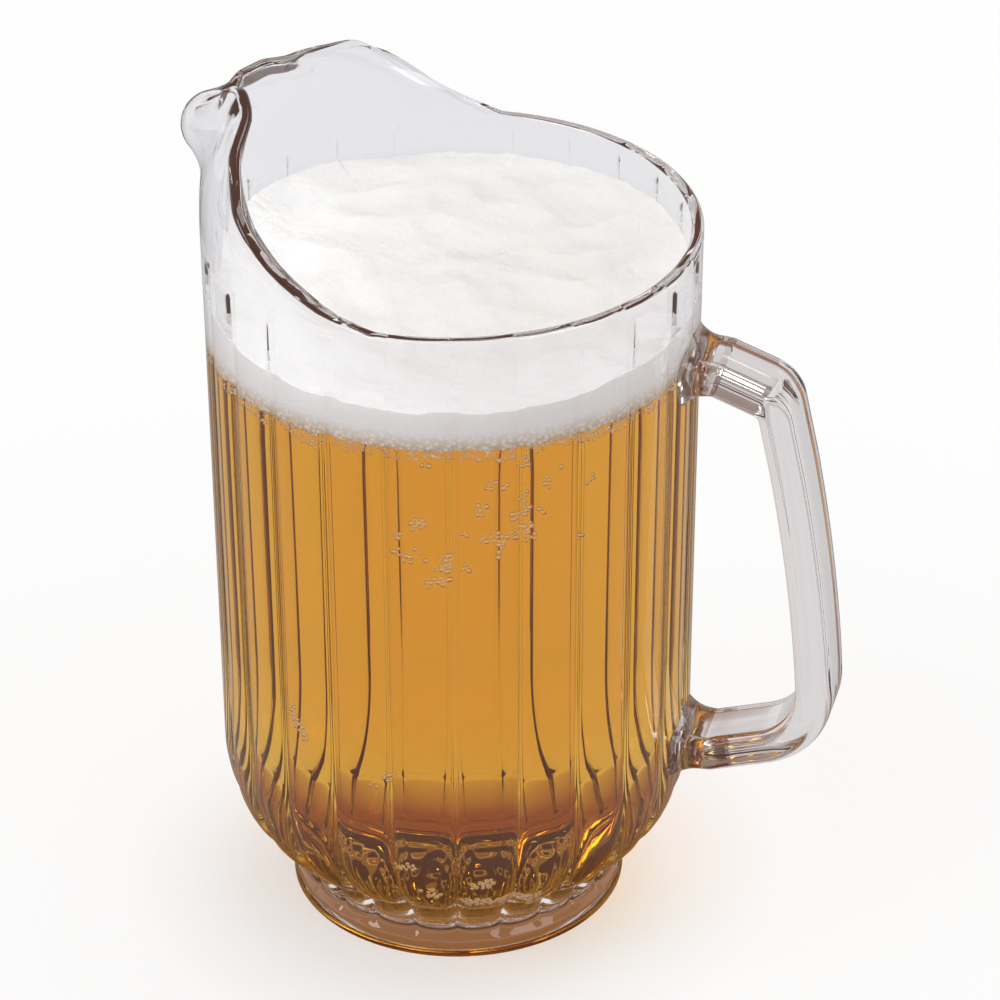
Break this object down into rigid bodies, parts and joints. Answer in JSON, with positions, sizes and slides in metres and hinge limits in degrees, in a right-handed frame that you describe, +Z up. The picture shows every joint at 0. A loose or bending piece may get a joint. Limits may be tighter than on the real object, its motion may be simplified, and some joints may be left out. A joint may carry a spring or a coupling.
{
  "type": "beer pitcher",
  "caption": "Clear fluted beer pitcher with a pinched pouring lip, a flat strap handle and a round foot, filled with amber beer under a white foam head.",
  "frame": {"origin": "centre of the foot ring, in the plane that it stands on", "axes": "+Z up along the body's axis, +X to the handle, -X to the pouring lip"},
  "size_m": [0.1666, 0.122, 0.2221],
  "materials": {
    "clear_body": "clear moulded polycarbonate, glossy",
    "clear_handle": "clear solid polycarbonate, glossy",
    "beer": "clear amber liquid with fine bubbles",
    "foam": "matt white froth of fine bubbles"
  },
  "bodies": {
    "root": {"jug_body": "clear_body", "handle": "clear_handle", "beer": "beer", "foam_head": "foam"}
  },
  "joints": []
}
